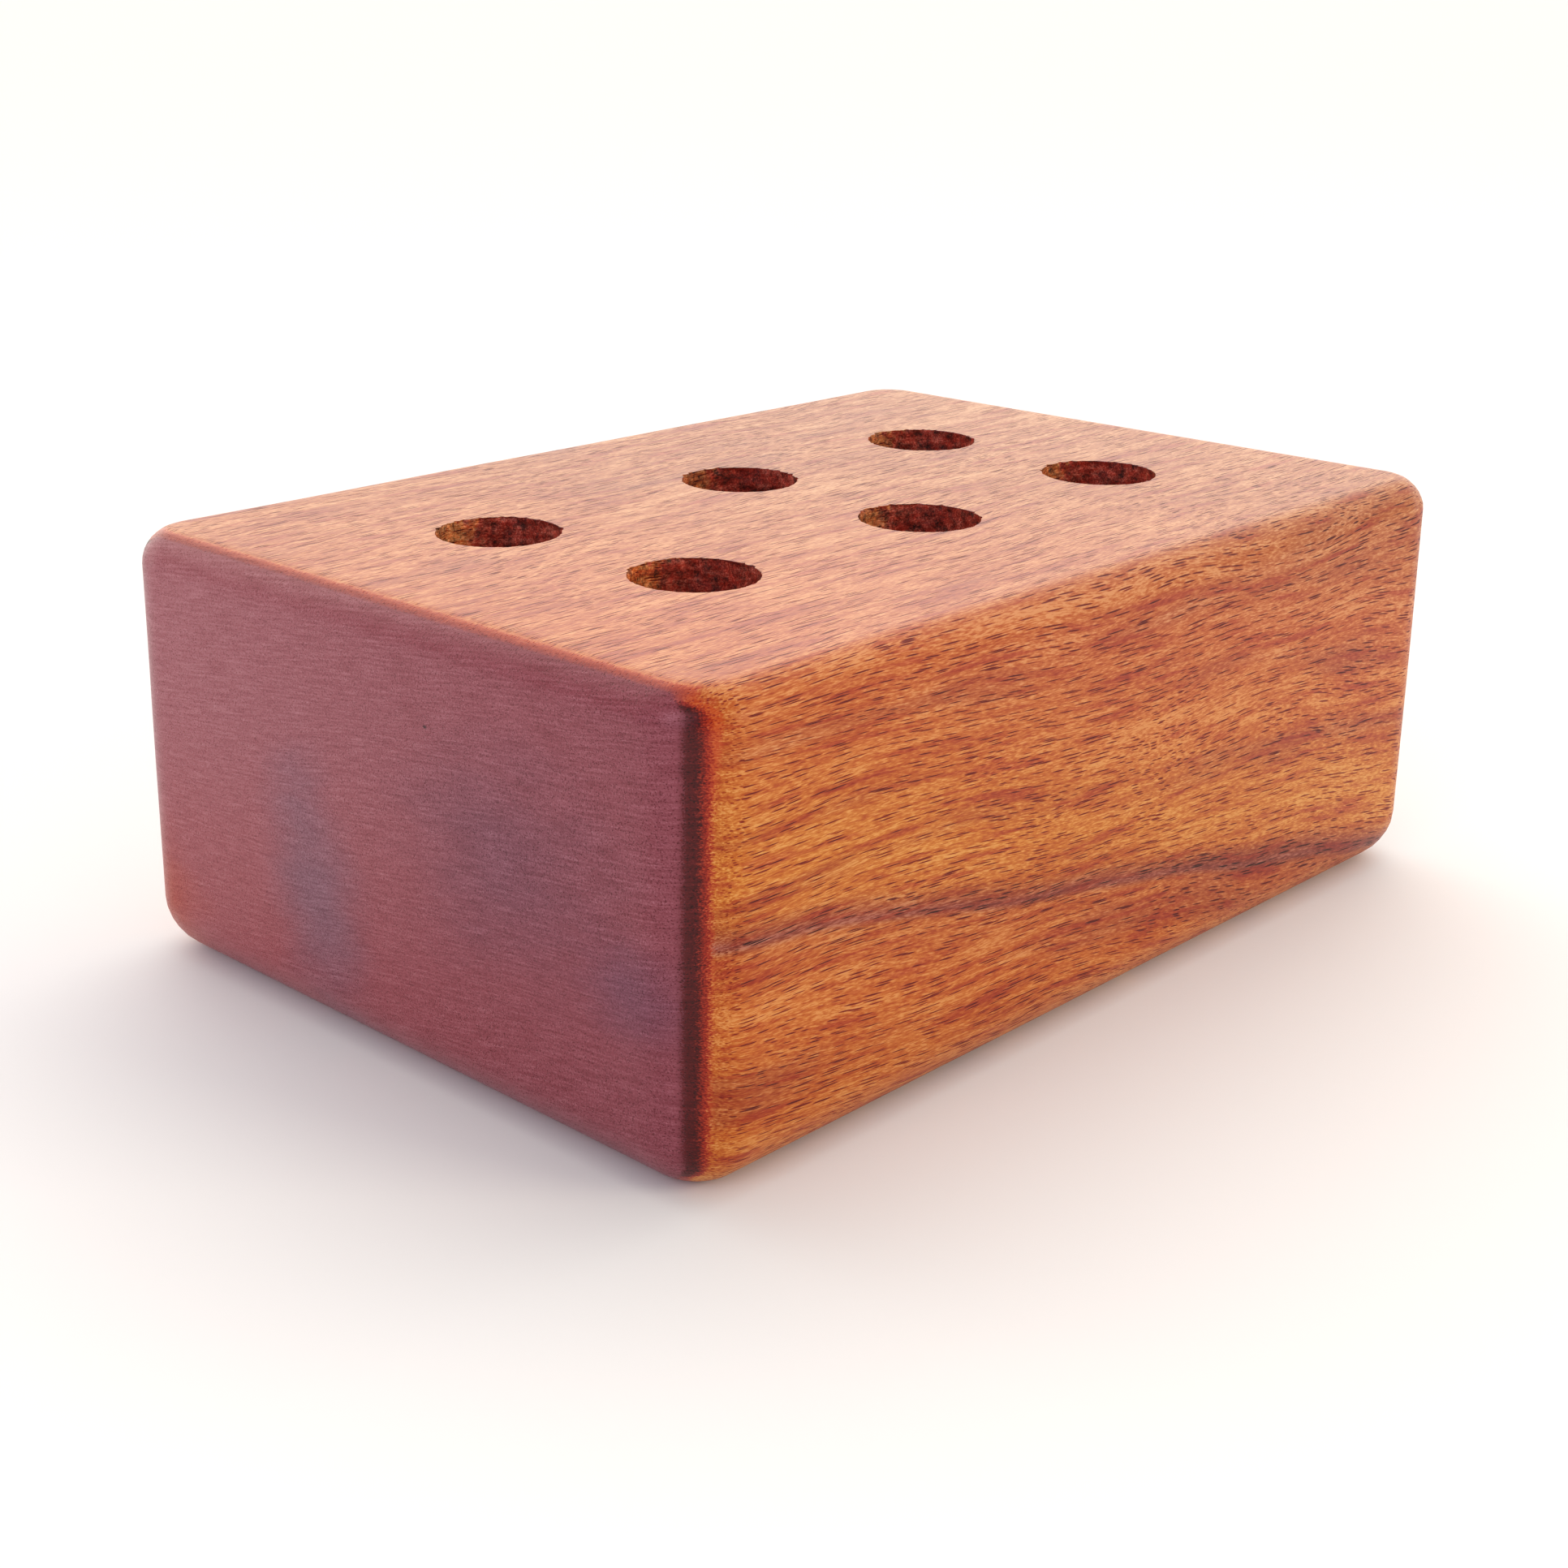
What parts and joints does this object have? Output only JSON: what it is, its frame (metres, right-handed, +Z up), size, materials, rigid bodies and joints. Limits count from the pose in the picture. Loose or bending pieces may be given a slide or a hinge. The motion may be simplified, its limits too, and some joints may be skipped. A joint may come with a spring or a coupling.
{
  "type": "tool storage caddy",
  "caption": "Solid hardwood block with rounded edges and two rows of round blind holes in its top face that hold hobby tools upright.",
  "frame": {"origin": "centre of the underside, on the surface that the block rests on", "axes": "+X along the grain and the long side, +Y across the width towards the back row of holes, +Z up out of the holes"},
  "size_m": [0.12, 0.083, 0.0455],
  "materials": {
    "oiled_hardwood": "satin oil over sanded reddish-brown hardwood, darker and redder on the end grain and in the drilled holes"
  },
  "bodies": {
    "root": {"block": "oiled_hardwood"}
  },
  "joints": []
}
